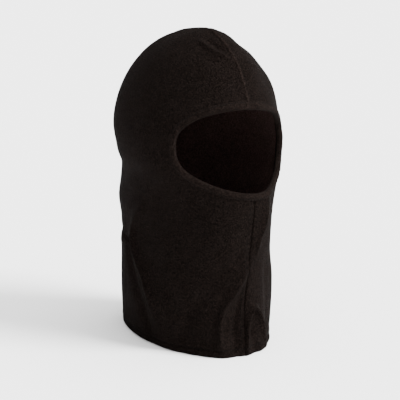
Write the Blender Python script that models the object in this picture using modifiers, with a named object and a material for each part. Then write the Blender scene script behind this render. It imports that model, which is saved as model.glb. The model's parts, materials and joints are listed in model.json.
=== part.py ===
"""Fleece ski balaclava: two mirrored side panels seamed down the middle, with a bound face opening.

Metres, +Z up. The hood stands on its hem at z = 0 and faces -Y; the wearer's right is -X.
Every sheet of cloth is laid out with two numbers: an angle round the face opening, and a
distance from the opening's edge towards the hem. Run it with Blender 4.5.
"""
from math import acos, atan2, cos, hypot, pi, radians, sin, sqrt

import bmesh
import bpy
from mathutils import Matrix, Vector

# Driving dimensions of the hood's outer surface
HEIGHT = 0.345                 # hem to crown peak
CROWN_START = 0.222            # height where the dome of the crown begins
FRONT_REACH = (0.1007, 0.0937, 0.0997, 0.1077, 0.1027)   # forward of the axis, hem to crown start
BACK_REACH = (0.1093, 0.1013, 0.1083, 0.1088, 0.1108)    # behind the axis, hem to crown start
HALF_WIDTH = (0.0660, 0.0740, 0.0690, 0.0680, 0.0825)    # to each side, hem to crown start
WIDEST_Y = -0.0017             # where each level is widest
PEAK_Y = -0.0207               # the crown's peak, a little forward of the axis
FRONT_FULLNESS = 0.023         # how far the dome swells past an ellipse
BACK_FULLNESS = 0.028
SIDE_FULLNESS = -0.031
CROWN_SHARE = 0.44             # the dome's share of the cloth from peak to hem

# Face opening, as seen from straight ahead
OPENING_HALF_WIDTH = 0.068
OPENING_TOP = 0.274
OPENING_BOTTOM = 0.185
OPENING_WIDEST = 0.231
OPENING_SQUARENESS = 0.88      # 1 is an ellipse, less is squarer

# Cloth, binding and thread
CLOTH = 0.0024                 # fleece thickness
GAP = 0.0003                   # between touching pieces
EASE = 0.0010                  # room between layers on the curve of the face
TRIM = 0.0030                  # cloth cut away below the hem's fold
BINDING_CLOTH = 0.0016         # stretched binding strip
BINDING_WIDTH = 0.0090
ELASTIC_WIDTH = 0.0050
ELASTIC_THICKNESS = 0.0008
ALLOWANCE_DEPTH = 0.0075       # seam allowance, measured from the outer surface
ALLOWANCE_CLOTH = 0.0021
HEM_DEPTH = 0.0095             # turned-up hem
THREAD_RADIUS = 0.0003
OVERLOCK_PITCH = 0.016
OVERLOCK_BITE = 0.0022         # how far the thread reaches in from the raw edge
OVERLOCK_MARGIN = 0.02         # share of the seam left bare at each end
TOPSTITCH_OFFSET = 0.0032
TOPSTITCH_SPANS = 18

# Where the layers lie, worked out from the sizes above
PANEL_SETBACK = BINDING_CLOTH + EASE       # the panel's raw edge, inside the binding's fold
ELASTIC_LIFT = -CLOTH - EASE               # outer face of the elastic
INNER_LEG_LIFT = ELASTIC_LIFT - ELASTIC_THICKNESS - EASE
ALLOWANCE_START = BINDING_WIDTH + 2 * EASE

# Care label, sewn into the centre back seam and lying beside it
LABEL_WIDTH = 0.026
LABEL_HEIGHT = 0.040
LABEL_THICKNESS = 0.0005
LABEL_BOTTOM = 0.028
LABEL_REST_ANGLE = radians(12)

# Layout lines, and the facets along them
LEAD = 0.060                   # how far a line leaves the opening square to its edge
LANDING = 0.30                 # how far it runs straight down to the hem, as a share of the drop
HALF_COLUMNS = 24              # round half of the face opening
PANEL_ROWS = 22                # from the face opening to the hem
NECK_ROWS = 8                  # down the front neck seam

FLEECE = ("black_fleece", (0.012, 0.010, 0.009), 0.95)
BINDING = ("binding_fleece", (0.016, 0.014, 0.013), 0.90)
THREAD = ("black_thread", (0.010, 0.009, 0.009), 0.55)
ELASTIC = ("elastic_tape", (0.020, 0.020, 0.020), 0.70)
LABEL = ("label_satin", (0.045, 0.045, 0.048), 0.40)


# ---- the hood's outer surface ----

def along_stations(values, height):
    """Smooth curve through evenly spaced heights, level where the crown starts."""
    spans = len(values) - 1
    position = min(max(height / CROWN_START, -0.1), 1.0) * spans
    index = min(max(int(position), 0), spans - 1)
    slopes = [values[1] - values[0]]
    slopes += [(values[k + 1] - values[k - 1]) / 2 for k in range(1, spans)]
    slopes.append(0.0)
    t = position - index
    low = (2 * t ** 3 - 3 * t ** 2 + 1) * values[index] + (t ** 3 - 2 * t ** 2 + t) * slopes[index]
    high = (3 * t ** 2 - 2 * t ** 3) * values[index + 1] + (t ** 3 - t ** 2) * slopes[index + 1]
    return low + high


def drop_of(height):
    """Share of the cloth used from the peak down to a height: 0 at the peak, 1 at the hem."""
    if height > CROWN_START:
        return CROWN_SHARE * acos((height - CROWN_START) / (HEIGHT - CROWN_START)) / (pi / 2)
    return CROWN_SHARE + (1 - CROWN_SHARE) * (1 - height / CROWN_START)


def level(drop):
    """Height, front reach, back reach, half width and widest place at a drop from the peak."""
    if drop >= CROWN_SHARE:
        height = CROWN_START * (1 - drop) / (1 - CROWN_SHARE)
        reaches = [along_stations(row, height) for row in (FRONT_REACH, BACK_REACH, HALF_WIDTH)]
        return (height, *reaches, WIDEST_Y)
    slope = pi / 2 * drop / CROWN_SHARE
    swell = sin(2 * slope) ** 2
    front = (FRONT_REACH[-1] + PEAK_Y) * (sin(slope) + FRONT_FULLNESS * swell) - PEAK_Y
    back = (BACK_REACH[-1] - PEAK_Y) * (sin(slope) + BACK_FULLNESS * swell) + PEAK_Y
    width = HALF_WIDTH[-1] * (sin(slope) + SIDE_FULLNESS * swell)
    widest = PEAK_Y + (WIDEST_Y - PEAK_Y) * sin(slope)
    return CROWN_START + (HEIGHT - CROWN_START) * cos(slope), front, back, width, widest


def hood_point(across, ahead):
    """Point of the outer surface, from its place on the hood laid out as a round disc."""
    height, front, back, width, widest = level(hypot(across, ahead))
    turn = atan2(across, ahead)
    reach = front + widest if cos(turn) >= 0 else back - widest
    return Vector((width * sin(turn), widest - reach * cos(turn), height))


def opening_edge(angle):
    """The face opening's edge on the disc: angle 0 at the wearer's left, 90 degrees at the top."""
    rise = OPENING_TOP - OPENING_WIDEST if sin(angle) >= 0 else OPENING_BOTTOM - OPENING_WIDEST
    height = OPENING_WIDEST + rise * abs(sin(angle)) ** OPENING_SQUARENESS
    drop = drop_of(height)
    across = OPENING_HALF_WIDTH * cos(angle) / level(drop)[3]
    return drop * across, drop * sqrt(1 - across ** 2)


class Line:
    """A curved line on the cloth, from the face opening's edge (share 0) to the hem (share 1)."""

    def __init__(self, angle):
        start = Vector(opening_edge(angle))
        turn = (pi / 2 + angle) % (2 * pi)
        end = Vector((sin(turn), cos(turn)))
        self.bends = (start, start + self.square_step(angle) * LEAD, end * (1 - LANDING), end)

    @staticmethod
    def square_step(angle):
        """Step on the disc that goes one metre away from the opening, square to its edge."""
        step = 0.001
        start = Vector(opening_edge(angle))
        along = hood_point(*opening_edge(angle + step)) - hood_point(*opening_edge(angle - step))
        by_across = (hood_point(start.x + step, start.y) - hood_point(start.x - step, start.y)) / (2 * step)
        by_ahead = (hood_point(start.x, start.y + step) - hood_point(start.x, start.y - step)) / (2 * step)
        normal = by_across.cross(by_ahead)
        away = normal.cross(along).normalized()
        area = normal.length_squared
        return Vector((away.cross(by_ahead).dot(normal), by_across.cross(away).dot(normal))) / area

    def place(self, share):
        """Place on the disc."""
        rest = 1 - share
        weights = (rest ** 3, 3 * rest ** 2 * share, 3 * rest * share ** 2, share ** 3)
        return sum((bend * weight for bend, weight in zip(self.bends, weights)), Vector((0.0, 0.0)))

    def share_at_reach(self, reach):
        """Share of the line at a distance in metres square to the opening's edge."""
        return reach / (3 * LEAD)

    def share_at_height(self, height):
        """Share of the line where it comes down to a height near the hem."""
        low, high = 0.6, 1.1
        for _ in range(40):
            middle = (low + high) / 2
            if self.place(middle).length < drop_of(height):
                low = middle
            else:
                high = middle
        return (low + high) / 2

    def lifted(self, share, lift):
        """Point raised off the outer surface, or sunk below it where lift is negative."""
        step = 0.002
        here = self.place(share)
        across = hood_point(here.x + step, here.y) - hood_point(here.x - step, here.y)
        ahead = hood_point(here.x, here.y + step) - hood_point(here.x, here.y - step)
        return hood_point(*here) + ahead.cross(across).normalized() * lift


def left_lines():
    """Lines on the wearer's left, from the middle at the chin to the middle at the brow."""
    return [Line(-pi / 2 + pi * k / HALF_COLUMNS) for k in range(HALF_COLUMNS + 1)]


def square_off(lines, across):
    """Put both end lines of a left-hand sheet beside the middle plane, at a small distance."""
    for point in lines[0] + lines[-1]:
        point.x = across


def ring_lines():
    """Lines all the way round the face opening."""
    return [Line(pi * k / HALF_COLUMNS) for k in range(2 * HALF_COLUMNS)]


# ---- Blender helpers ----

def clear_scene():
    for item in list(bpy.data.objects):
        bpy.data.objects.remove(item, do_unlink=True)


def new_collection(name):
    collection = bpy.data.collections.new(name)
    bpy.context.scene.collection.children.link(collection)
    return collection


def principled(recipe):
    name, colour, roughness = recipe
    material = bpy.data.materials.get(name)
    if material is None:
        material = bpy.data.materials.new(name)
        material.use_nodes = True
        shader = material.node_tree.nodes["Principled BSDF"]
        shader.inputs["Base Color"].default_value = (*colour, 1.0)
        shader.inputs["Roughness"].default_value = roughness
        shader.inputs["Metallic"].default_value = 0.0
    return material


def add_object(name, data, collection, recipe=None):
    thing = bpy.data.objects.new(name, data)
    collection.objects.link(thing)
    if recipe:
        data.materials.append(principled(recipe))
    return thing


def sheet(name, lines, collection, recipe=None, closed=False):
    """Open sheet from a grid whose columns are laid on lists of points."""
    columns = len(lines) + (1 if closed else 0)
    rows = len(lines[0])
    mesh = bpy.data.meshes.new(name)
    grid = bmesh.new()
    bmesh.ops.create_grid(grid, x_segments=columns - 1, y_segments=rows - 1, size=1.0)
    for vertex in grid.verts:
        column = round((vertex.co.x + 1) / 2 * (columns - 1)) % len(lines)
        row = round((vertex.co.y + 1) / 2 * (rows - 1))
        vertex.co = lines[column][row]
    if closed:
        bmesh.ops.remove_doubles(grid, verts=grid.verts, dist=1e-6)
    for face in grid.faces:
        face.smooth = True
    grid.to_mesh(mesh)
    grid.free()
    return add_object(name, mesh, collection, recipe)


def block(name, low, high, collection):
    """Box between two corners."""
    mesh = bpy.data.meshes.new(name)
    box = bmesh.new()
    bmesh.ops.create_cube(box, size=1.0)
    size = Vector(high) - Vector(low)
    middle = (Vector(high) + Vector(low)) / 2
    for vertex in box.verts:
        vertex.co = middle + Vector(a * b for a, b in zip(vertex.co, size))
    box.to_mesh(mesh)
    box.free()
    return add_object(name, mesh, collection)


def thicken(thing, thickness, offset):
    """Solidify: offset -1 grows against the faces' direction, 0 both ways."""
    shell = thing.modifiers.new("thickness", "SOLIDIFY")
    shell.thickness = thickness
    shell.offset = offset
    shell.use_even_offset = True


def combine(thing, operation, other):
    modifier = thing.modifiers.new(f"{operation.lower()}_{other.name}", "BOOLEAN")
    modifier.operation = operation
    modifier.solver = "EXACT"
    modifier.object = other
    other.hide_render = True
    other.display_type = "WIRE"


def thread(name, points, closed, collection):
    """Sewing thread: a round wire through a list of points."""
    curve = bpy.data.curves.new(name, "CURVE")
    curve.dimensions = "3D"
    curve.bevel_depth = THREAD_RADIUS
    curve.bevel_resolution = 2
    curve.use_fill_caps = True
    spline = curve.splines.new("POLY")
    spline.points.add(len(points) - 1)
    for target, point in zip(spline.points, points):
        target.co = (*point, 1.0)
    spline.use_cyclic_u = closed
    return add_object(name, curve, collection, THREAD)


# ---- the pieces ----

def seam_line(angle, depth):
    """Points along the middle seam at a depth, from beside the binding to just above the hem."""
    line = Line(angle)
    rows = NECK_ROWS if sin(angle) < 0 else PANEL_ROWS
    first = line.share_at_reach(ALLOWANCE_START)
    last = line.share_at_height(HEM_DEPTH - 0.001)
    return [line.lifted(first + (last - first) * k / rows, -depth) for k in range(rows + 1)]


def along_line(points, share):
    """Point on a faceted line, as a share of its number of spans."""
    position = share * (len(points) - 1)
    index = min(int(position), len(points) - 2)
    return points[index].lerp(points[index + 1], position - index)


def seam_allowance(name, angle, cutters):
    """Cloth turned in along the middle, standing off the panel's inner face."""
    lines = [seam_line(angle, depth) for depth in (CLOTH / 2, ALLOWANCE_DEPTH)]
    square_off(lines, ALLOWANCE_CLOTH / 2 + GAP)
    strip = sheet(name, lines, cutters)
    thicken(strip, ALLOWANCE_CLOTH - 2 * GAP, 0.0)
    return strip


def hem_turning(cutters):
    """Second layer of cloth inside the hem."""
    heights = (HEM_DEPTH, 0.0, -TRIM)
    lines = []
    for line in left_lines():
        shares = [line.share_at_height(height) for height in heights]
        lines.append([line.lifted(share, -1.5 * CLOTH) for share in shares])
    square_off(lines, 2 * GAP)
    band = sheet("hem_turning", lines, cutters)
    thicken(band, 1.2 * CLOTH, 0.0)
    return band


def left_side_panel(parts, cutters):
    """Half of the hood: neck, cheek and crown in a single piece of fleece."""
    lines = []
    for line in left_lines():
        first = line.share_at_reach(PANEL_SETBACK)
        last = line.share_at_height(-TRIM)
        shares = [first + (last - first) * k / PANEL_ROWS for k in range(PANEL_ROWS + 1)]
        lines.append([line.lifted(share, -CLOTH / 2) for share in shares])
    square_off(lines, GAP)
    panel = sheet("left_side_panel", lines, parts, FLEECE)
    thicken(panel, CLOTH, 0.0)
    combine(panel, "UNION", seam_allowance("neck_allowance", -pi / 2, cutters))
    combine(panel, "UNION", seam_allowance("crown_allowance", pi / 2, cutters))
    combine(panel, "UNION", hem_turning(cutters))
    combine(panel, "DIFFERENCE", block("below_hem", (-0.2, -0.2, -0.05), (0.2, 0.2, 0.0), cutters))
    return panel


def right_side_panel(left, parts):
    """The other half: the left panel turned over."""
    depsgraph = bpy.context.evaluated_depsgraph_get()
    mesh = bpy.data.meshes.new_from_object(left.evaluated_get(depsgraph))
    mesh.transform(Matrix.Scale(-1, 4, (1, 0, 0)))
    mesh.flip_normals()
    mesh.name = "right_side_panel"
    return add_object("right_side_panel", mesh, parts)


def face_binding(parts):
    """Strip of cloth folded over the panels' raw edge, all round the face opening."""
    outer = EASE + BINDING_CLOTH / 2
    inner = INNER_LEG_LIFT - BINDING_CLOTH / 2
    middle = (outer + inner) / 2
    fold = BINDING_CLOTH / 2
    section = ((BINDING_WIDTH, outer), (BINDING_WIDTH / 2, outer), (1.6 * fold, outer), (fold, middle),
               (1.6 * fold, inner), (BINDING_WIDTH / 2, inner), (BINDING_WIDTH - 0.001, inner))
    lines = []
    for line in ring_lines():
        lines.append([line.lifted(line.share_at_reach(reach), lift) for reach, lift in section])
    strip = sheet("face_binding", lines, parts, BINDING, closed=True)
    thicken(strip, BINDING_CLOTH, 0.0)
    return strip


def face_elastic(parts):
    """Flat elastic tape inside the binding, behind the panels' edge."""
    lift = ELASTIC_LIFT - ELASTIC_THICKNESS / 2
    start = PANEL_SETBACK + 0.001
    lines = []
    for line in ring_lines():
        reaches = (start, start + ELASTIC_WIDTH)
        lines.append([line.lifted(line.share_at_reach(reach), lift) for reach in reaches])
    tape = sheet("face_elastic", lines, parts, ELASTIC, closed=True)
    thicken(tape, ELASTIC_THICKNESS, 0.0)
    return tape


def overlock(name, angle, parts):
    """Looper thread wrapped to and fro over both raw edges of a seam, inside the hood."""
    clearance = GAP + THREAD_RADIUS
    beside = ALLOWANCE_CLOTH + clearance
    under = seam_line(angle, ALLOWANCE_DEPTH + clearance)
    inside = seam_line(angle, ALLOWANCE_DEPTH - OVERLOCK_BITE)
    length = sum((b - a).length for a, b in zip(under, under[1:]))
    turns = int(length / OVERLOCK_PITCH)
    cycle = ((-beside, inside), (-beside, under), (beside, under), (beside, inside), (beside, under),
             (-beside, under))
    total = turns * len(cycle)
    points = []
    for k in range(total):
        across, line = cycle[k % len(cycle)]
        point = along_line(line, OVERLOCK_MARGIN + (1 - 2 * OVERLOCK_MARGIN) * k / total)
        point.x = across
        points.append(point)
    return thread(name, points, False, parts)


def neck_topstitch(parts):
    """Row of stitching beside the front neck seam, on the wearer's right."""
    line = Line(-pi / 2)
    first = line.share_at_reach(BINDING_WIDTH + 0.002)
    last = line.share_at_height(HEM_DEPTH + 0.002)
    points = []
    for k in range(TOPSTITCH_SPANS + 1):
        point = line.lifted(first + (last - first) * k / TOPSTITCH_SPANS, GAP + THREAD_RADIUS)
        point.x = -TOPSTITCH_OFFSET
        points.append(point)
    return thread("neck_topstitch", points, False, parts)


def face_binding_stitch(parts):
    """Row of stitching near the binding's outer edge."""
    lift = EASE + BINDING_CLOTH + GAP + THREAD_RADIUS
    points = [line.lifted(line.share_at_reach(BINDING_WIDTH - 0.002), lift) for line in ring_lines()]
    return thread("face_binding_stitch", points, True, parts)


def hem_stitch(parts):
    """Row of stitching that holds the turned-up hem."""
    height = HEM_DEPTH - 0.0015
    lift = GAP + THREAD_RADIUS
    points = [line.lifted(line.share_at_height(height), lift) for line in ring_lines()]
    return thread("hem_stitch", points, True, parts)


def care_label(parts):
    """Blank satin label, sewn in by one upright edge and free to swing about it."""
    low = (0, -LABEL_THICKNESS / 2, 0)
    high = (LABEL_WIDTH, LABEL_THICKNESS / 2, LABEL_HEIGHT)
    label = block("care_label", low, high, parts)
    label.data.materials.append(principled(LABEL))
    seam = Line(pi / 2)
    heights = [LABEL_BOTTOM + LABEL_HEIGHT * k / 4 for k in range(5)]
    beside = ALLOWANCE_CLOTH + 2 * (GAP + THREAD_RADIUS)
    beyond = ALLOWANCE_DEPTH + 2 * GAP + 4 * THREAD_RADIUS
    backs = [seam.lifted(seam.share_at_height(height), -beyond).y for height in heights]
    label.location = (beside, min(backs), LABEL_BOTTOM)
    label.rotation_euler = (0, 0, -LABEL_REST_ANGLE)
    return label


def build():
    clear_scene()
    parts = new_collection("balaclava")
    cutters = new_collection("balaclava_cutters")
    left = left_side_panel(parts, cutters)
    right_side_panel(left, parts)
    face_binding(parts)
    face_elastic(parts)
    overlock("crown_seam_overlock", pi / 2, parts)
    overlock("neck_seam_overlock", -pi / 2, parts)
    neck_topstitch(parts)
    face_binding_stitch(parts)
    hem_stitch(parts)
    care_label(parts)


build()
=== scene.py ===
"""Looks of a black fleece balaclava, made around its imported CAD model.

Metres, +Z up; the hood faces -Y and the wearer's right is -X. The cloth is laid out as a round
disc: the crown's peak in the middle, the hem at radius 1, the front ahead and the wearer's left
at +across. Lines on the disc run from the face opening to the hem, and every piece is laid on
them, so the layers keep their order wherever the cloth folds.
"""
import json
from math import cos, pi, radians, sin

import bpy
import numpy as np
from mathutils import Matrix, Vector


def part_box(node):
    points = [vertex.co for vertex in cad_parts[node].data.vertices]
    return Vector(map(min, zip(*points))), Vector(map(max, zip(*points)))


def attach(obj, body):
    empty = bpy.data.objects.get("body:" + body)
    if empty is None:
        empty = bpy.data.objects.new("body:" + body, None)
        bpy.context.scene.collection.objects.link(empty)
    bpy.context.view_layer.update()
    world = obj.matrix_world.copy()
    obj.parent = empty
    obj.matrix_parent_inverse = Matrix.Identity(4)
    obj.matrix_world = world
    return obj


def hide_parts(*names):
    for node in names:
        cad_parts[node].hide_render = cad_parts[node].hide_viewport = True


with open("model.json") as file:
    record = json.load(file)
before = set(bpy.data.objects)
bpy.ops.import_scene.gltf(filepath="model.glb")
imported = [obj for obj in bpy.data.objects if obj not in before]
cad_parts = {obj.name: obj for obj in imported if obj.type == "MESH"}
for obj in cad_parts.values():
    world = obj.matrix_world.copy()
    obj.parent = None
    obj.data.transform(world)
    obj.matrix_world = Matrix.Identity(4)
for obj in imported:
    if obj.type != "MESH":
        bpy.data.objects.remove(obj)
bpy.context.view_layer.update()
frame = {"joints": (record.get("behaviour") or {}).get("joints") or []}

MM = 0.001

# The hood's outer surface, as in the CAD
HEIGHT = 0.345
CROWN_START = 0.222
# From the hem up to the crown's start, at five even heights
FRONT_REACH = (0.1007, 0.0937, 0.0997, 0.1077, 0.1027)
BACK_REACH = (0.1093, 0.1013, 0.1083, 0.1088, 0.1108)
HALF_WIDTH = (0.0660, 0.0740, 0.0690, 0.0680, 0.0825)
WIDEST_Y = -0.0017             # where each level is widest
PEAK_Y = -0.0207               # the crown's peak
FRONT_FULLNESS = 0.023         # how far the dome swells past an ellipse
BACK_FULLNESS = 0.028
SIDE_FULLNESS = -0.031
CROWN_SHARE = 0.44             # the dome's share of the cloth from peak to hem
PEAK_LIFT = 1.95 * MM          # the crown is drawn up to a soft point, inside a hollow
PEAK_WIDTH = 20 * MM
HOLLOW_DEPTH = 1.5 * MM
HOLLOW_WIDTH = 48 * MM

# Face opening
OPENING_HALF_WIDTH = 0.068
OPENING_TOP = 0.274
OPENING_BOTTOM = 0.185
OPENING_WIDEST = 0.229
OPENING_SQUARENESS = 0.76
OPENING_SAG = 2.6 * MM         # how far the cloth round the opening has sunk
OPENING_ROLL = 7.0 * MM        # how far it has sunk further at the wearer's left
LEAD = 0.060                   # how far a line leaves the opening square to its edge
LANDING = 0.30                 # how far it runs straight down to the hem, as a share of the drop

# Cloth and layers
CLOTH = 2.4 * MM
SEAM_OVERLAP = 0.06 * MM       # the two panels are pressed into each other at the seam
SEAM_MARGIN_STEP = 0.012 * MM  # how much further from the seam each next column stays
SETBACK = 2.6 * MM             # the panels' raw edge, inside the binding
BINDING_WIDTH = 9.0 * MM
BINDING_DRAW = 0.86            # the elastic has drawn the strip narrower
HEM_DEPTH = 9.5 * MM
HEM_HOLD = 0.55                # share of the folds' lift left at the doubled hem
HEM_SWAY = 5.5 * MM            # how far the hem has slid sideways at the front
ALLOWANCE_DEPTH = 7.0 * MM
ALLOWANCE_CLOTH = 1.9 * MM

# Stitches
STITCH_RADIUS = 0.32 * MM
LOOPER_RADIUS = 0.28 * MM
BINDING_STITCH_REACH = 7.75 * MM
HEM_STITCH_HEIGHT = 8.3 * MM
TOPSTITCH_OFFSET = 3.2 * MM

# Mesh density
PANEL_COLUMNS = 236
PANEL_ROWS = 168
RING_LINES = 420
THREAD_SIDES = 6               # tube_faces closes a thread's ends with two quads

# Folds the cloth holds. Each stands out by so many millimetres (in where negative), is so many
# wide, and runs through places given as degrees from the front and millimetres above the hem.
FOLDS = (
    # the wearer's right side, from the nape to the front
    (3.4, 7.0, ((-84, 178), (-94, 152), (-103, 128), (-103, 108), (-96, 92), (-87, 76), (-80, 54),
                (-76, 32), (-75, 8))),
    (1.5, 2.6, ((-94, 152), (-103, 128), (-103, 108), (-96, 92), (-87, 76), (-80, 54), (-76, 20))),
    (-3.4, 7.5, ((-114, 136), (-116, 112), (-108, 88), (-98, 66), (-90, 40), (-86, 10), (-86, -20))),
    (-3.4, 3.6, ((-168, 120), (-140, 112), (-122, 106), (-104, 108))),
    (0.9, 5.0, ((-165, 104), (-140, 99), (-121, 97))),
    (-4.4, 9.0, ((-4, 126), (-20, 96), (-32, 76), (-46, 50), (-56, 14), (-60, -20))),
    (4.2, 5.0, ((4, 118), (-3, 93), (-10, 77), (-18, 58), (-22, 38), (-22, 8), (-22, -14))),
    (1.6, 2.2, ((0, 104), (-3, 93), (-10, 77), (-18, 58), (-22, 38), (-22, 8), (-22, -14))),
    (-5.0, 5.8, ((-1, 82), (-6, 56), (-9, 32), (-9, -20))),
    (1.6, 15.0, ((-62, 150), (-64, 100), (-68, 60), (-72, -10))),
    # the front seam and the wearer's left
    (4.2, 3.8, ((1, -24), (2, 14), (3, 38), (8, 51), (15, 44), (22, 28), (28, 8), (32, -16))),
    (1.7, 1.9, ((1, -24), (2, 14), (3, 38), (8, 51), (15, 44), (22, 28), (28, 8), (32, -16))),
    (-4.8, 5.6, ((9, 40), (12, 20), (15, -24))),
    (3.0, 6.0, ((20, 190), (13, 144), (8, 128), (9, 100))),
    (1.4, 2.4, ((18, 172), (13, 144), (8, 128), (8, 104))),
    (5.2, 12.0, ((6, -16), (18, -2), (30, 2), (42, 2), (56, -4))),
    (-1.8, 6.5, ((-4, 165), (-8, 140), (-11, 112), (-8, 92))),
    (-2.2, 8.0, ((24, 120), (27, 80), (34, 40), (40, -20))),
    (2.4, 7.5, ((40, 110), (46, 70), (52, 30), (54, -20))),
    # the wearer's left side and the nape
    (-3.0, 8.5, ((104, 140), (106, 108), (98, 66), (92, 20), (90, -20))),
    (3.0, 7.0, ((94, 150), (96, 116), (86, 74), (79, 34), (76, -20))),
    (-2.8, 5.5, ((116, 120), (140, 116), (170, 124), (188, 122))),
    (2.2, 6.0, ((122, 104), (146, 100), (172, 106), (190, 104))),
    (-2.4, 8.0, ((150, 92), (154, 60), (150, 25), (148, -20))),
    (2.6, 8.0, ((166, 86), (170, 50), (168, 20), (166, -20))),
    (-2.4, 9.0, ((190, 90), (188, 50), (184, 15), (182, -20))),
    (2.2, 9.0, ((212, 80), (208, 45), (205, -20))),
    # where the head's curve turns into the neck
    (-2.6, 15.0, ((-70, 220), (-100, 216), (-128, 213), (-160, 213), (-190, 214))),
    (-3.6, 13.0, ((-66, 196), (-96, 192), (-122, 189), (-150, 190), (-186, 194))),
    (3.6, 17.0, ((-76, 156), (-100, 152), (-126, 148), (-156, 150), (-190, 154))),
    (-2.0, 13.0, ((80, 216), (110, 210), (140, 208), (165, 212))),
    # the crown, where the seam draws the cloth in
    (2.8, 2.8, ((-64, 340), (-48, 337), (-26, 329), (-14, 325), (-4, 318))),
    (-2.6, 3.6, ((-44, 341), (-28, 337), (-14, 332), (-3, 327))),
    (-1.4, 5.0, ((-46, 326), (-30, 320), (-16, 315), (-4, 308))),
    (-2.4, 13.0, ((100, 332), (60, 330), (24, 332))),
    (1.5, 26.0, ((88, 250), (72, 285), (50, 296))),
    (2.8, 17.0, ((66, 236), (62, 258), (56, 280), (42, 304))),
    (1.0, 5.0, ((40, 306), (22, 314), (6, 317))),
    (-1.2, 6.0, ((-140, 300), (-160, 312), (-176, 318))),
    (-1.1, 6.0, ((138, 290), (158, 304), (176, 310))),
    # beside the opening, at the wearer's left
    (3.6, 21.0, ((52, 142), (56, 178), (59, 215), (60, 258))),
)


# ---- the hood's smooth outer surface ----

def along_stations(values, height):
    """Smooth curve through evenly spaced heights, level where the crown starts."""
    values = np.array(values)
    spans = len(values) - 1
    position = np.clip(height / CROWN_START, -0.1, 1.0) * spans
    index = np.clip(position.astype(int), 0, spans - 1)
    slopes = np.concatenate(([values[1] - values[0]], (values[2:] - values[:-2]) / 2, [0.0]))
    t = position - index
    low = (2 * t ** 3 - 3 * t ** 2 + 1) * values[index] + (t ** 3 - 2 * t ** 2 + t) * slopes[index]
    high = (3 * t ** 2 - 2 * t ** 3) * values[index + 1] + (t ** 3 - t ** 2) * slopes[index + 1]
    return low + high


def drop_of(height):
    """Share of the cloth used from the peak down to a height."""
    dome = np.clip((height - CROWN_START) / (HEIGHT - CROWN_START), 0.0, 1.0)
    above = CROWN_SHARE * np.arccos(dome) / (pi / 2)
    below = CROWN_SHARE + (1 - CROWN_SHARE) * (1 - height / CROWN_START)
    return np.where(height > CROWN_START, above, below)


def level(drop):
    """Height, front reach, back reach, half width and widest place at a drop from the peak."""
    low_height = CROWN_START * (1 - drop) / (1 - CROWN_SHARE)
    slope = pi / 2 * np.minimum(drop / CROWN_SHARE, 1.0)
    rise, swell = np.sin(slope), np.sin(2 * slope) ** 2
    low = drop >= CROWN_SHARE
    height = np.where(low, low_height, CROWN_START + (HEIGHT - CROWN_START) * np.cos(slope))
    front = (FRONT_REACH[-1] + PEAK_Y) * (rise + FRONT_FULLNESS * swell) - PEAK_Y
    back = (BACK_REACH[-1] - PEAK_Y) * (rise + BACK_FULLNESS * swell) + PEAK_Y
    width = HALF_WIDTH[-1] * (rise + SIDE_FULLNESS * swell)
    widest = np.where(low, WIDEST_Y, PEAK_Y + (WIDEST_Y - PEAK_Y) * rise)
    front, back, width = (np.where(low, along_stations(row, low_height), dome) for row, dome
                          in ((FRONT_REACH, front), (BACK_REACH, back), (HALF_WIDTH, width)))
    return height, front, back, width, widest


def hood_points(place):
    """Points of the smooth outer surface, from places on the disc."""
    across, ahead = place[..., 0], place[..., 1]
    height, front, back, width, widest = level(np.hypot(across, ahead))
    turn = np.arctan2(across, ahead)
    reach = np.where(np.cos(turn) >= 0, front + widest, back - widest)
    return np.stack((width * np.sin(turn), widest - reach * np.cos(turn), height), -1)


def hood_normals(place):
    """Outward normals of the smooth surface."""
    step = 0.002
    over, on = np.array((step, 0.0)), np.array((0.0, step))
    across = hood_points(place + over) - hood_points(place - over)
    ahead = hood_points(place + on) - hood_points(place - on)
    return unit(np.cross(ahead, across))


def unit(vectors):
    return vectors / np.linalg.norm(vectors, axis=-1, keepdims=True)


def smooth_step(value, low, high):
    t = np.clip((value - low) / (high - low), 0.0, 1.0)
    return t * t * (3 - 2 * t)


def bell(distance, width):
    return np.exp(-(distance / width) ** 2)


# ---- lines on the cloth ----

def opening_edge(angle):
    """The face opening's edge on the disc: angle 0 at the wearer's left, 90 degrees at the top."""
    rise = np.where(np.sin(angle) >= 0, OPENING_TOP - OPENING_WIDEST, OPENING_BOTTOM - OPENING_WIDEST)
    side = np.cos(angle)
    height = OPENING_WIDEST + rise * np.abs(np.sin(angle)) ** OPENING_SQUARENESS
    height = height - OPENING_SAG - OPENING_ROLL * side * (1 - 0.55 * side ** 2)
    drop = drop_of(height)
    across = OPENING_HALF_WIDTH * side / level(drop)[3]
    return np.stack((drop * across, drop * np.sqrt(1 - across ** 2)), -1)


def square_steps(angle):
    """Steps on the disc that go one metre away from the opening, square to its edge."""
    step = 0.001
    over, on = np.array((step, 0.0)), np.array((0.0, step))
    start = opening_edge(angle)
    along = hood_points(opening_edge(angle + step)) - hood_points(opening_edge(angle - step))
    by_across = (hood_points(start + over) - hood_points(start - over)) / (2 * step)
    by_ahead = (hood_points(start + on) - hood_points(start - on)) / (2 * step)
    normal = np.cross(by_across, by_ahead)
    away = unit(np.cross(normal, along))
    first = np.sum(np.cross(away, by_ahead) * normal, -1)
    second = np.sum(np.cross(by_across, away) * normal, -1)
    return np.stack((first, second), -1) / np.sum(normal ** 2, -1, keepdims=True)


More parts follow.
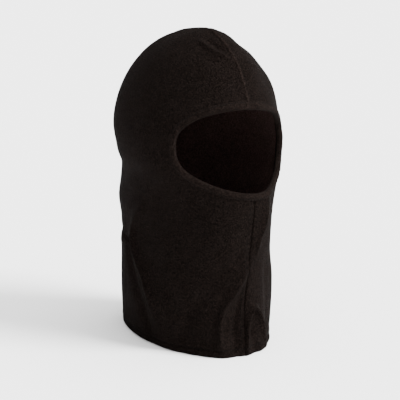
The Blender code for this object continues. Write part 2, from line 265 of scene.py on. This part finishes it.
class Lines:
    """Curved lines on the cloth, from the face opening's edge (share 0) to the hem (share 1)."""

    def __init__(self, angles):
        self.count = len(angles)
        start = opening_edge(angles)
        end = np.stack((np.cos(angles), -np.sin(angles)), -1)
        self.bends = (start, start + square_steps(angles) * LEAD, end * (1 - LANDING), end)

    def places(self, shares):
        """Places on the disc: a row of shares for each line, or one row for all."""
        rest = 1 - shares
        weights = (rest ** 3, 3 * rest ** 2 * shares, 3 * rest * shares ** 2, shares ** 3)
        return sum(bend[:, None] * weight[..., None] for bend, weight in zip(self.bends, weights))

    def at_reach(self, reach):
        """Shares at a distance in metres square to the opening's edge."""
        return np.full(self.count, reach / (3 * LEAD))

    def at_height(self, height):
        """Shares where the lines come down to a height near the hem."""
        low, high = np.full(self.count, 0.6), np.full(self.count, 1.1)
        for _ in range(40):
            middle = (low + high) / 2
            short = np.linalg.norm(self.places(middle[:, None])[:, 0], axis=-1) < drop_of(height)
            low, high = np.where(short, middle, low), np.where(short, high, middle)
        return (low + high) / 2


# ---- folds ----

def on_hood(turn, height):
    """Point of the smooth surface from degrees round it and millimetres up it."""
    drop = drop_of(np.asarray(height) * MM)
    turn = np.radians(turn)
    return hood_points(np.stack((drop * np.sin(turn), drop * np.cos(turn)), -1))


def smooth_route(places, steps=6):
    """Catmull-Rom curve through a route's places."""
    p = np.array([places[0], *places, places[-1]], float)
    made = []
    for k in range(len(places) - 1):
        a, b, c, d = p[k:k + 4]
        for t in np.arange(steps) / steps:
            made.append(b + 0.5 * t * (c - a + t * (2 * a - 5 * b + 4 * c - d
                                                    + t * (3 * (b - c) + d - a))))
    return np.array([*made, p[-1]])


def fold(points, route, width):
    """How much a fold lifts each point: 1 on its ridge, fading to its sides and its two ends."""
    way = smooth_route(route)
    line = on_hood(way[:, 0], way[:, 1])
    spans = np.linalg.norm(np.diff(line, axis=0), axis=1)
    passed = np.concatenate(([0.0], np.cumsum(spans))) / spans.sum()
    best = np.full(len(points), 1.0)
    where = np.zeros(len(points))
    for a, b, start, stop in zip(line, line[1:], passed, passed[1:]):
        t = np.clip((points - a) @ (b - a) / ((b - a) @ (b - a)), 0.0, 1.0)
        far = np.linalg.norm(points - a - t[:, None] * (b - a), axis=1)
        where = np.where(far < best, start + t * (stop - start), where)
        best = np.minimum(far, best)
    return bell(best, width) * smooth_step(where, 0.0, 0.3) * smooth_step(1 - where, 0.0, 0.3)


def ripple(turn, height):
    """Soft unevenness of cloth that stands without a head in it."""
    loose = smooth_step(-height, -0.16, -0.02)
    waves = (0.5 * np.sin(5 * turn + 27 * height + 0.4) + 0.35 * np.sin(9 * turn - 2.2)
             + 0.3 * np.sin(3 * turn + 31 * height))
    crown = 0.25 * np.sin(7 * turn + 40 * height) + 0.2 * np.sin(4 * turn - 55 * height)
    return MM * (0.9 * loose * waves + crown * smooth_step(height, 0.10, 0.2))


def relief(place):
    """Lift of the folded cloth off the smooth surface."""
    points = hood_points(place).reshape(-1, 3)
    total = np.zeros(len(points))
    for lift, width, route in FOLDS:
        total += lift * MM * fold(points, route, width * MM)
    total *= HEM_HOLD + (1 - HEM_HOLD) * smooth_step(points[:, 2], 0.0, 26 * MM)
    turn = np.arctan2(place[..., 0], place[..., 1])
    from_peak = np.linalg.norm(points - np.array((0.0, PEAK_Y, HEIGHT)), axis=1)
    total += PEAK_LIFT * bell(from_peak, PEAK_WIDTH) - HOLLOW_DEPTH * bell(from_peak, HOLLOW_WIDTH)
    return total.reshape(place.shape[:-1]) + ripple(turn, points[:, 2].reshape(turn.shape))


class Cloth:
    """The folded outer surface at places on the disc, ready for layers above and below it."""

    def __init__(self, place):
        self.base = hood_points(place)
        self.normal = hood_normals(place)
        self.relief = relief(place)

    def lifted(self, lift):
        return self.base + self.normal * (self.relief + lift)[..., None]


# ---- meshes ----

def swayed(points):
    """Points where the front of the hem has slid towards the wearer's right."""
    low = smooth_step(-points[..., 2], -75 * MM, -15 * MM)
    front = smooth_step(-points[..., 1], 66 * MM, 95 * MM)
    moved = points.copy()
    moved[..., 0] -= HEM_SWAY * low * front
    return moved


def mesh_object(name, points, faces, material):
    """Object from numpy points and quads, shaded smooth and facing out."""
    points = swayed(points)
    mesh = bpy.data.meshes.new(name)
    mesh.from_pydata(points.reshape(-1, 3).tolist(), [], faces.tolist())
    corners = points.reshape(-1, 3)[faces]
    volume = np.sum(np.cross(corners[:, 0] - corners[:, 2], corners[:, 1] - corners[:, 3])
                    * corners.mean(1))
    if volume < 0:
        mesh.flip_normals()
    mesh.shade_smooth()
    mesh.materials.append(material)
    thing = bpy.data.objects.new(name, mesh)
    bpy.context.scene.collection.objects.link(thing)
    return thing


def quads(index, close_first=False, close_second=False):
    """Quads over a grid of vertex numbers."""
    if close_first:
        index = np.concatenate((index, index[:1]), 0)
    if close_second:
        index = np.concatenate((index, index[:, :1]), 1)
    return np.stack((index[:-1, :-1], index[1:, :-1], index[1:, 1:], index[:-1, 1:]), -1).reshape(-1, 4)


def two_faced(name, outer, inner, material, painted_light_inside=None):
    """Closed mesh from an outer and an inner grid of the same size."""
    columns, rows = outer.shape[:2]
    upper = np.arange(columns * rows).reshape(columns, rows)
    lower = upper + columns * rows
    rim = np.concatenate((upper[0, :-1], upper[:-1, -1], upper[-1, :0:-1], upper[:0:-1, 0]))
    band = quads(np.stack((rim + columns * rows, rim), 1), close_first=True)
    faces = np.concatenate((quads(upper), quads(lower)[:, ::-1], band))
    thing = mesh_object(name, np.stack((outer, inner)), faces, material)
    # a second material for the inner faces: the same fleece painted lighter, as painted light inside the
    # hood
    if painted_light_inside:
        thing.data.materials.append(painted_light_inside)
        inside = np.zeros(len(faces), np.int32)
        inside[len(quads(upper)):2 * len(quads(upper))] = 1
        thing.data.polygons.foreach_set("material_index", inside)
    return thing


def tube_faces(rings):
    """Faces of a thread from so many rings of vertices, closed at both ends."""
    index = np.arange(rings * THREAD_SIDES).reshape(rings, THREAD_SIDES)
    ends = [np.stack((end[[0, 1, 2, 3]], end[[0, 3, 4, 5]])) for end in (index[0], index[-1][::-1])]
    return np.concatenate((quads(index, close_second=True), *ends))


def dashes(name, line, normals, pitch, length):
    """Stitches: short threads along a line of points, each dipping into the cloth at its ends."""
    spans = np.linalg.norm(np.diff(line, axis=0), axis=1)
    passed = np.concatenate(([0.0], np.cumsum(spans)))
    count = int(passed[-1] / pitch)
    points, faces = [], []
    ring = np.arange(THREAD_SIDES) / THREAD_SIDES * 2 * pi
    along = np.array((-0.5, -0.42, -0.2, 0.2, 0.42, 0.5)) * length
    dip = np.array((-1.9, -0.5, 0.25, 0.25, -0.5, -1.9)) * STITCH_RADIUS
    thin = np.array((0.35, 0.9, 1.0, 1.0, 0.9, 0.35)) * STITCH_RADIUS
    for k in range(count):
        middle = (k + 0.5) * passed[-1] / count
        centre = sample(line, passed, middle + along)
        out = unit(sample(normals, passed, middle + along))
        ahead = unit(np.gradient(centre, axis=0))
        side = unit(np.cross(ahead, out))
        centre = centre + out * dip[:, None]
        tube = (centre[:, None] + (side[:, None] * np.cos(ring)[:, None]
                + out[:, None] * np.sin(ring)[:, None]) * thin[:, None, None])
        points.append(tube.reshape(-1, 3))
        faces.append(tube_faces(len(along)) + k * len(along) * THREAD_SIDES)
    return mesh_object(name, np.concatenate(points), np.concatenate(faces), THREAD)


def sample(values, passed, wanted):
    """Values along a line at wanted distances."""
    return np.stack([np.interp(wanted, passed, values[:, k]) for k in range(3)], -1)


def looper_thread(name, line):
    """Round thread through a line of points."""
    ahead = unit(np.gradient(line, axis=0))
    side = unit(np.cross(ahead, np.array((0.31, 0.22, 0.92))))
    up = np.cross(side, ahead)
    ring = np.arange(THREAD_SIDES) / THREAD_SIDES * 2 * pi
    spokes = side[:, None] * np.cos(ring)[:, None] + up[:, None] * np.sin(ring)[:, None]
    tube = line[:, None] + LOOPER_RADIUS * spokes
    return mesh_object(name, tube, tube_faces(len(line)), THREAD)


# ---- materials ----

def new_material(name, colour, roughness):
    """Principled material, with its node tree and shader."""
    material = bpy.data.materials.new(name)
    material.use_nodes = True
    tree = material.node_tree
    shader = tree.nodes["Principled BSDF"]
    shader.inputs["Base Color"].default_value = (*colour, 1.0)
    shader.inputs["Roughness"].default_value = roughness
    return material, tree, shader


def add_node(tree, kind, **sockets):
    node = tree.nodes.new(kind)
    for name, value in sockets.items():
        node.inputs[name].default_value = value
    return node


def pattern(tree, kind, **sockets):
    """Texture in the object's own metres."""
    place = tree.nodes.new("ShaderNodeTexCoord")
    made = add_node(tree, kind, **sockets)
    tree.links.new(place.outputs["Object"], made.inputs["Vector"])
    return made


def noise(tree, scale, detail, roughness=0.6):
    return pattern(tree, "ShaderNodeTexNoise", Scale=scale, Detail=detail, Roughness=roughness)


def bump(tree, height, strength, distance, below=None):
    made = add_node(tree, "ShaderNodeBump", Strength=strength, Distance=distance)
    tree.links.new(height, made.inputs["Height"])
    if below:
        tree.links.new(below.outputs["Normal"], made.inputs["Normal"])
    return made


def ramp(tree, factor, low, high, start=0.0, stop=1.0):
    """Colour that runs from low to high as the factor goes from start to stop."""
    made = tree.nodes.new("ShaderNodeValToRGB")
    made.color_ramp.elements[0].position = start
    made.color_ramp.elements[1].position = stop
    made.color_ramp.elements[0].color = (*low, 1.0)
    made.color_ramp.elements[1].color = (*high, 1.0)
    tree.links.new(factor, made.inputs["Fac"])
    return made


def mix(tree, first, second, blend, factor):
    made = tree.nodes.new("ShaderNodeMix")
    made.data_type = "RGBA"
    made.blend_type = blend
    made.inputs["Factor"].default_value = factor
    tree.links.new(first, made.inputs[6])
    tree.links.new(second, made.inputs[7])
    return made.outputs[2]


def dress(tree, shader, factor, low, high, strength, distance):
    """Colour and bump that follow one pattern."""
    colour = ramp(tree, factor, low, high)
    tree.links.new(colour.outputs["Color"], shader.inputs["Base Color"])
    raised = bump(tree, factor, strength, distance)
    tree.links.new(raised.outputs["Normal"], shader.inputs["Normal"])


def seam_painted_highlight(tree):
    """Painted highlight along the crown seam's ridge: how much lighter the colour is made there, 1 away
    from it.
    """
    place = tree.nodes.new("ShaderNodeTexCoord")
    parts = tree.nodes.new("ShaderNodeSeparateXYZ")
    tree.links.new(place.outputs["Object"], parts.inputs["Vector"])
    beside = tree.nodes.new("ShaderNodeMath")
    beside.operation = "ABSOLUTE"
    tree.links.new(parts.outputs["X"], beside.inputs[0])
    near = add_node(tree, "ShaderNodeMapRange", **{"From Min": 0.0009, "From Max": 0.0022,
                                                   "To Min": 0.8, "To Max": 0.0})
    tree.links.new(beside.outputs["Value"], near.inputs["Value"])
    high = add_node(tree, "ShaderNodeMapRange", **{"From Min": 0.255, "From Max": 0.285})
    tree.links.new(parts.outputs["Z"], high.inputs["Value"])
    made = tree.nodes.new("ShaderNodeMath")
    made.operation = "MULTIPLY_ADD"
    made.inputs[2].default_value = 1.0
    tree.links.new(near.outputs["Result"], made.inputs[0])
    tree.links.new(high.outputs["Result"], made.inputs[1])
    return made.outputs["Value"]


def fleece(name, dark, light, pile, sheen, grain=1.0, crown_seam_highlight=False):
    """Brushed fleece: short tufted pile, uneven nap and soft patches where it was rubbed."""
    material, tree, shader = new_material(name, light, 0.95)
    tufts = pattern(tree, "ShaderNodeTexVoronoi", Scale=620.0)
    nap = noise(tree, 580.0, 3.0, 0.75)
    patches = noise(tree, 60.0, 4.0, 0.65)
    broad = ramp(tree, patches.outputs["Fac"], dark, light, 0.25, 0.75)
    deep, tip = (0.22, 0.20, 0.19), (1.80, 1.77, 1.75)
    fine = ramp(tree, nap.outputs["Fac"], deep, tip, 0.36, 0.64)
    tips = ramp(tree, tufts.outputs["Distance"], (1.25, 1.24, 1.23), (0.55, 0.54, 0.54), 0.10, 0.75)
    colour = mix(tree, broad.outputs["Color"], fine.outputs["Color"], "MULTIPLY", grain)
    colour = mix(tree, colour, tips.outputs["Color"], "MULTIPLY", 0.8 * grain)
    # painted highlight: the colour is made lighter along the crown seam's ridge, whatever the light
    if crown_seam_highlight:
        colour = mix(tree, colour, seam_painted_highlight(tree), "MULTIPLY", 1.0)
    tree.links.new(colour, shader.inputs["Base Color"])
    first = bump(tree, tufts.outputs["Distance"], 0.8 * pile, -0.0010)
    second = bump(tree, nap.outputs["Fac"], 0.9 * pile, 0.0018, first)
    third = bump(tree, patches.outputs["Fac"], 0.35, 0.0022, second)
    tree.links.new(third.outputs["Normal"], shader.inputs["Normal"])
    shader.inputs["Sheen Weight"].default_value = sheen
    shader.inputs["Sheen Roughness"].default_value = 0.55
    shader.inputs["Sheen Tint"].default_value = (0.80, 0.62, 0.56, 1.0)
    shader.inputs["Specular IOR Level"].default_value = 0.013
    return material


def thread_material():
    """Polyester thread: twisted, slightly shiny."""
    material, tree, shader = new_material("black_thread", (0.004, 0.003, 0.003), 0.85)
    shader.inputs["Specular IOR Level"].default_value = 0.05
    twist = noise(tree, 2600.0, 2.0)
    dress(tree, shader, twist.outputs["Fac"], (0.0015, 0.0012, 0.0011), (0.0050, 0.0040, 0.0036),
          0.5, 0.2 * MM)
    return material


def tape_material():
    """Woven elastic: fine ribs across the tape."""
    material, tree, shader = new_material("elastic_tape", (0.012, 0.012, 0.012), 0.7)
    ribs = noise(tree, 1500.0, 2.0)
    dress(tree, shader, ribs.outputs["Fac"], (0.006, 0.006, 0.006), (0.02, 0.02, 0.02), 0.6, 0.4 * MM)
    return material


def satin_material():
    """Woven satin: fine floats along the label, with a soft shine."""
    material, tree, shader = new_material("label_satin", (0.03, 0.03, 0.032), 0.38)
    weave = pattern(tree, "ShaderNodeTexWave", Scale=900.0, Distortion=0.6, Detail=1.0)
    weave.bands_direction = "Z"
    dress(tree, shader, weave.outputs["Fac"], (0.020, 0.020, 0.022), (0.045, 0.045, 0.048),
          0.35, 0.1 * MM)
    shader.inputs["Sheen Weight"].default_value = 0.15
    return material


# the outer fleece carries the painted highlight along the crown seam
FLEECE = fleece("black_fleece", (0.0041, 0.0028, 0.0023), (0.0058, 0.0042, 0.0037), 1.2, 0.004,
                crown_seam_highlight=True)
BINDING = fleece("binding_fleece", (0.0046, 0.0031, 0.0026), (0.0064, 0.0046, 0.0040), 0.7, 0.006)
# painted light: the hood's inner faces are the same fleece, painted about eight times lighter to stand
# in for light inside
INSIDE_PAINTED_LIGHT = fleece("fleece_inside_painted_light", (0.035, 0.0205, 0.0185), (0.044, 0.027, 0.0245), 0.5, 0.02,
                grain=0.6)
THREAD = thread_material()
TAPE = tape_material()
SATIN = satin_material()


# ---- the pieces ----

def finish_piece(thing, node, body="hood"):
    """Hide the CAD node a mesh stands for, and hang the mesh on the empty of the body that carries it.
    """
    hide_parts(node)
    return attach(thing, body)


def half_angles(side):
    """Angles of a panel's lines, close together beside the seams: chin to brow."""
    u = np.linspace(0.0, 1.0, PANEL_COLUMNS)
    turn = -pi / 2 + pi * (u - 0.78 * np.sin(2 * pi * u) / (2 * pi))
    return turn if side > 0 else pi - turn


def panel_shares(lines):
    """Shares for a panel's rows: close at both edges, and set by height over the hem."""
    hem_heights = np.array((12.0, 11.0, 10.2, 9.8, 9.4, 8.9, 8.2, 7.4, 6.5, 5.6, 4.6, 3.7, 2.9, 2.2,
                            1.6, 1.1, 0.65, 0.3, 0.08, 0.0)) * MM
    first = lines.at_reach(SETBACK)
    hem = np.stack([lines.at_height(height) for height in hem_heights], 1)
    main = np.linspace(0.0, 1.0, PANEL_ROWS - len(hem_heights), endpoint=False)
    shares = first[:, None] + (hem[:, :1] - first[:, None]) * main
    return np.concatenate((shares, hem), 1)


def rounded(distance, radius):
    """Drop of a rounded edge's surface, at a distance in from the edge: radius at 0."""
    inside = np.clip(1 - distance / radius, 0.0, 1.0)
    return radius * (1 - np.sqrt(1 - inside ** 2))


def outer_profile(across, height, turn):
    """Lift of a panel's outer face: rolled in at the seam, pressed at the hem's stitching."""
    behind = np.cos(turn) <= 0
    crown = np.clip(smooth_step(height, 0.20, 0.26) + 0.5 * behind * (height <= 0.26), 0.0, 1.0)
    ridge = 1.5 * MM * bell(across, 1.7 * MM) * crown
    valley = -0.6 * MM * bell(across, 3.2 * MM) * (1 - crown)
    groove = -(1.6 - 1.5 * crown) * MM * bell(across, (1.0 - 0.55 * crown) * MM)
    lip = 0.5 * MM * bell(height - 11.2 * MM, 1.7 * MM)
    ditch = -0.9 * MM * bell(height - HEM_STITCH_HEIGHT, 1.3 * MM)
    band = 0.4 * MM * bell(height - 4.4 * MM, 2.8 * MM)
    return ridge + valley + groove + lip + ditch + band - rounded(height, CLOTH)


def inner_profile(across, reach, height):
    """Lift of a panel's inner face: the seam allowance, and the hem turned up inside."""
    turned = smooth_step(-height, -HEM_DEPTH - 0.15 * MM, -HEM_DEPTH + 0.35 * MM)
    allowance = smooth_step(-across, -ALLOWANCE_CLOTH - 0.5 * MM, -ALLOWANCE_CLOTH + 0.1 * MM)
    allowance = allowance * smooth_step(reach, BINDING_WIDTH + 1 * MM, BINDING_WIDTH + 3 * MM)
    deep = -CLOTH - turned * 0.98 * CLOTH
    deep = deep - allowance * (1 - turned) * (ALLOWANCE_DEPTH - CLOTH)
    return deep + rounded(height, 0.98 * CLOTH)


def side_panel(name, node, side):
    """Half of the hood in one piece of fleece, from the face opening to the turned-up hem."""
    angles = half_angles(side)
    lines = Lines(angles)
    shares = panel_shares(lines)
    place = lines.places(shares)
    cloth = Cloth(place)
    height = cloth.base[..., 2]
    across = np.abs(cloth.base[..., 0])
    turn = np.arctan2(place[..., 0], place[..., 1])
    reach = shares * 3 * LEAD
    raw = rounded(reach - SETBACK, CLOTH / 2)
    outer = cloth.lifted(outer_profile(across, height, turn) - raw)
    inner = cloth.lifted(inner_profile(across, reach, height) + raw)
    column = np.arange(PANEL_COLUMNS)
    margin = -SEAM_OVERLAP + SEAM_MARGIN_STEP * np.minimum(column, column[::-1])
    for face in (outer, inner):
        face[..., 2] = np.maximum(face[..., 2], 0.0)
        face[..., 0] = side * np.maximum(side * face[..., 0], margin[:, None])
        face[[0, -1], :, 0] = -side * SEAM_OVERLAP
    return finish_piece(two_faced(name, outer, inner, FLEECE, INSIDE_PAINTED_LIGHT), node)


# Lines all round the opening, for the pieces that go round in one
RING_ANGLES = np.arange(RING_LINES) / RING_LINES * 2 * pi
RING = Lines(RING_ANGLES)


def ring_strip(name, reaches, lifts, material):
    """Closed band round the opening, from its section's reaches and lifts."""
    points = Cloth(RING.places(reaches / (3 * LEAD))).lifted(lifts)
    index = np.arange(points.shape[0] * points.shape[1]).reshape(points.shape[:2])
    return mesh_object(name, points, quads(index, close_first=True, close_second=True), material)


# The folded strip's section: distance from the opening's edge and lift off the cloth
BINDING_SECTION = np.array((
    (9.00, 0.12), (9.25, 0.40), (9.10, 0.75), (8.60, 0.85), (8.00, 0.62), (7.45, 0.62), (6.80, 1.05),
    (5.60, 1.50), (4.20, 1.75), (2.80, 1.80), (1.60, 1.60), (0.60, 1.05), (0.00, 0.20), (-0.25, -0.95),
    (-0.15, -2.30), (0.30, -3.60), (1.10, -4.60), (2.40, -5.20), (4.20, -5.45), (6.40, -5.35),
    (8.00, -5.20), (8.35, -4.70), (8.00, -4.15), (6.40, -3.95), (4.20, -3.95), (2.60, -3.65),
    (1.75, -2.90), (1.45, -1.80), (1.50, -0.70), (1.95, -0.10), (2.40, 0.14), (5.50, 0.14), (7.60, 0.12),
)) * MM


def pucker(angle):
    """Slight gathering of the binding, drawn up by its elastic."""
    return (0.30 * np.sin(41 * angle + 0.7 * np.sin(3 * angle)) + 0.22 * np.sin(67 * angle + 1.3)
            + 0.25 * np.sin(9 * angle + 0.5))


def face_binding():
    """Strip of fleece folded over the panels' edge, all round the face opening."""
    wave = pucker(RING_ANGLES)[:, None]
    reach, lift = BINDING_SECTION[:, 0] * BINDING_DRAW, BINDING_SECTION[:, 1]
    grip = smooth_step(reach, 0.0, 4 * MM) * smooth_step(-reach, -9 * MM, -5 * MM)
    reaches = reach + 0.16 * MM * wave * smooth_step(reach, 6 * MM, 9 * MM)
    lifts = lift + MM * wave * 0.5 * grip * (lift > 0.55 * MM)
    strip = ring_strip("face_binding_strip", reaches, lifts, BINDING)
    return finish_piece(strip, "face_binding")


def face_elastic():
    """Elastic tape lying behind the panels' edge, inside the binding."""
    section = np.array(((3.6, -2.62), (6.0, -2.56), (8.4, -2.62),
                        (8.4, -3.40), (6.0, -3.46), (3.6, -3.40))) * MM
    tape = ring_strip("face_elastic_tape", section[:, 0] * BINDING_DRAW, section[:, 1], TAPE)
    return finish_piece(tape, "face_elastic")


def stitch_ring(name, node, shares, lift, pitch, length):
    """A row of stitches on the outer face that goes all round and meets its own start."""
    cloth = Cloth(RING.places(shares[:, None])[:, 0])
    line, normals = (np.concatenate((row, row[:1])) for row in (cloth.lifted(lift), cloth.normal))
    return finish_piece(dashes(name, line, normals, pitch, length), node)


def neck_topstitch():
    """Stitching beside the front seam, on the wearer's right, through the seam allowance."""
    middle = Lines(np.full(1, -pi / 2))
    first, last = middle.at_reach(BINDING_WIDTH + 2 * MM)[0], middle.at_height(0.0115)[0]
    place = middle.places(np.linspace(first, last, 160)[None])[0]
    drop = np.linalg.norm(place, axis=-1)
    place[:, 0] -= TOPSTITCH_OFFSET / level(drop)[3] * drop
    cloth = Cloth(place)
    row = dashes("neck_topstitch_thread", cloth.lifted(-0.30 * MM), cloth.normal, 3.0 * MM, 2.3 * MM)
    return finish_piece(row, "neck_topstitch")


def overlock(name, node, angle):
    """Looper threads wrapped over both raw edges of a seam, inside the hood."""
    middle = Lines(np.full(1, angle))
    first, last = middle.at_reach(BINDING_WIDTH + 4 * MM)[0], middle.at_height(HEM_DEPTH + 2 * MM)[0]
    shares = np.linspace(first, last, 900)
    cloth = Cloth(middle.places(shares[None])[0])
    passed = np.concatenate(([0.0], np.cumsum(np.linalg.norm(np.diff(cloth.base, axis=0), axis=1))))
    pitch = 3.2 * MM
    turns = int(passed[-1] / pitch)
    beside = ALLOWANCE_CLOTH + 0.75 * MM
    cycle = ((-beside, 4.4), (-beside, 6.6), (-beside * 0.9, 7.4), (0.0, 7.6), (beside * 0.9, 7.4),
             (beside, 6.6), (beside, 4.4), (beside, 6.6), (beside * 0.9, 7.4), (0.0, 7.6),
             (-beside * 0.9, 7.4), (-beside, 6.6))
    count = turns * len(cycle)
    wanted = passed[-1] * (0.01 + 0.98 * np.arange(count) / count)
    across = np.array([cycle[k % len(cycle)][0] for k in range(count)])
    depth = np.array([cycle[k % len(cycle)][1] for k in range(count)]) * MM
    outer = sample(cloth.lifted(0.0), passed, wanted)
    normal = unit(sample(cloth.normal, passed, wanted))
    line = outer - normal * depth[:, None]
    line[:, 0] = across
    return finish_piece(looper_thread(name, line), node)


def care_label():
    """Blank satin label with turned edges, curling a little away from its sewn edge."""
    hinge = frame["joints"][0]["pos_m"]
    low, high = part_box("care_label")
    rest = radians(12)
    width = (high.x - low.x) / cos(rest) - 0.1 * MM
    tall = high.z - low.z
    u, v = np.meshgrid(np.linspace(0, 1, 40), np.linspace(0, 1, 56), indexing="ij")
    bow = 1.6 * MM * np.sin(pi * u) * (0.7 + 0.5 * v) + 0.35 * MM * np.sin(9 * v + 2 * u) * u
    edge = np.minimum(np.minimum(1 - u, 1.0) * width, np.minimum(v, 1 - v) * tall)
    thick = 0.24 * MM + 0.10 * MM * smooth_step(-edge, -1.8 * MM, -1.4 * MM)
    thick = thick * np.sqrt(np.clip(edge / (0.25 * MM), 0.15, 1.0))
    faces = []
    for sign in (1, -1):
        x, y = u * width, -bow + sign * thick
        faces.append(np.stack((hinge[0] + x * cos(rest) + y * sin(rest),
                               hinge[1] - x * sin(rest) + y * cos(rest),
                               low.z + v * tall), -1))
    label = two_faced("care_label_satin", *faces, SATIN)
    return finish_piece(label, "care_label", "label")


def stitches():
    """Every visible row of stitches."""
    stitch_ring("binding_stitch_thread", "face_binding_stitch",
                RING.at_reach(BINDING_STITCH_REACH * BINDING_DRAW),
                lift=0.66 * MM, pitch=3.1 * MM, length=2.3 * MM)
    stitch_ring("hem_stitch_thread", "hem_stitch", RING.at_height(HEM_STITCH_HEIGHT),
                lift=-0.68 * MM, pitch=3.2 * MM, length=2.4 * MM)
    neck_topstitch()


# ---- stage, light and camera ----

def stage_floor():
    mesh = bpy.data.meshes.new("floor")
    size = 30.0
    mesh.from_pydata([(-size, -size, 0), (size, -size, 0), (size, size, 0), (-size, size, 0)], [],
                     [(0, 1, 2, 3)])
    material, _, shader = new_material("pale_floor", (0.93, 0.93, 0.93), 0.9)
    shader.inputs["Specular IOR Level"].default_value = 0.1
    mesh.materials.append(material)
    floor = bpy.data.objects.new("floor", mesh)
    bpy.context.scene.collection.objects.link(floor)


def world_light():
    """Pale studio all round, dimmer behind the hood's right side."""
    world = bpy.data.worlds.new("studio")
    world.use_nodes = True
    tree = world.node_tree
    place = tree.nodes.new("ShaderNodeTexCoord")
    towards = tree.nodes.new("ShaderNodeVectorMath")
    towards.operation = "DOT_PRODUCT"
    towards.inputs[1].default_value = (0.66, -0.43, 0.62)
    strength = add_node(tree, "ShaderNodeMapRange", **{"From Min": -0.75, "From Max": 0.85,
                                                       "To Min": 0.15, "To Max": 2.7})
    tree.links.new(place.outputs["Generated"], towards.inputs[0])
    tree.links.new(towards.outputs["Value"], strength.inputs["Value"])
    tree.links.new(strength.outputs["Result"], tree.nodes["Background"].inputs["Strength"])
    tree.nodes["Background"].inputs["Color"].default_value = (1.0, 1.0, 1.0, 1.0)
    bpy.context.scene.world = world


def sun(name, azimuth, elevation, energy, angle):
    """Soft light from far away; azimuth 0 comes from in front of the hood, 90 from its left (+X)."""
    light = bpy.data.lights.new(name, "SUN")
    light.energy = energy
    light.angle = radians(angle)
    lamp = bpy.data.objects.new(name, light)
    a, e = radians(azimuth), radians(elevation)
    towards = Vector((sin(a) * cos(e), -cos(a) * cos(e), sin(e)))
    lamp.rotation_mode = "QUATERNION"
    lamp.rotation_quaternion = towards.to_track_quat("Z", "Y")
    bpy.context.scene.collection.objects.link(lamp)


def main_camera():
    """Camera in front of the hood and to its right, looking slightly down."""
    azimuth, elevation, distance = radians(35.0), radians(15.37), 2.3
    back = Vector((-sin(azimuth) * cos(elevation), -cos(azimuth) * cos(elevation), sin(elevation)))
    right = Vector((cos(azimuth), -sin(azimuth), 0.0))
    data = bpy.data.cameras.new("camera")
    data.lens = 188.3
    data.sensor_width = 36.0
    data.clip_start, data.clip_end = 0.05, 100.0
    camera = bpy.data.objects.new("camera", data)
    camera.location = Vector((0.0, 0.0, 0.1515)) + right * 0.0041 + back * distance
    camera.rotation_mode = "QUATERNION"
    camera.rotation_quaternion = (-back).to_track_quat("-Z", "Y")
    bpy.context.scene.collection.objects.link(camera)
    bpy.context.scene.camera = camera


main_camera()
stage_floor()
world_light()
sun("key", azimuth=35, elevation=44, energy=9.9, angle=22)
sun("top", azimuth=40, elevation=80, energy=1.5, angle=70)

left = side_panel("left_panel_fleece", "left_side_panel", 1)
right = side_panel("right_panel_fleece", "right_side_panel", -1)
binding = face_binding()
face_elastic()
overlock("crown_overlock_thread", "crown_seam_overlock", pi / 2)
overlock("neck_overlock_thread", "neck_seam_overlock", -pi / 2)
stitches()
label = care_label()
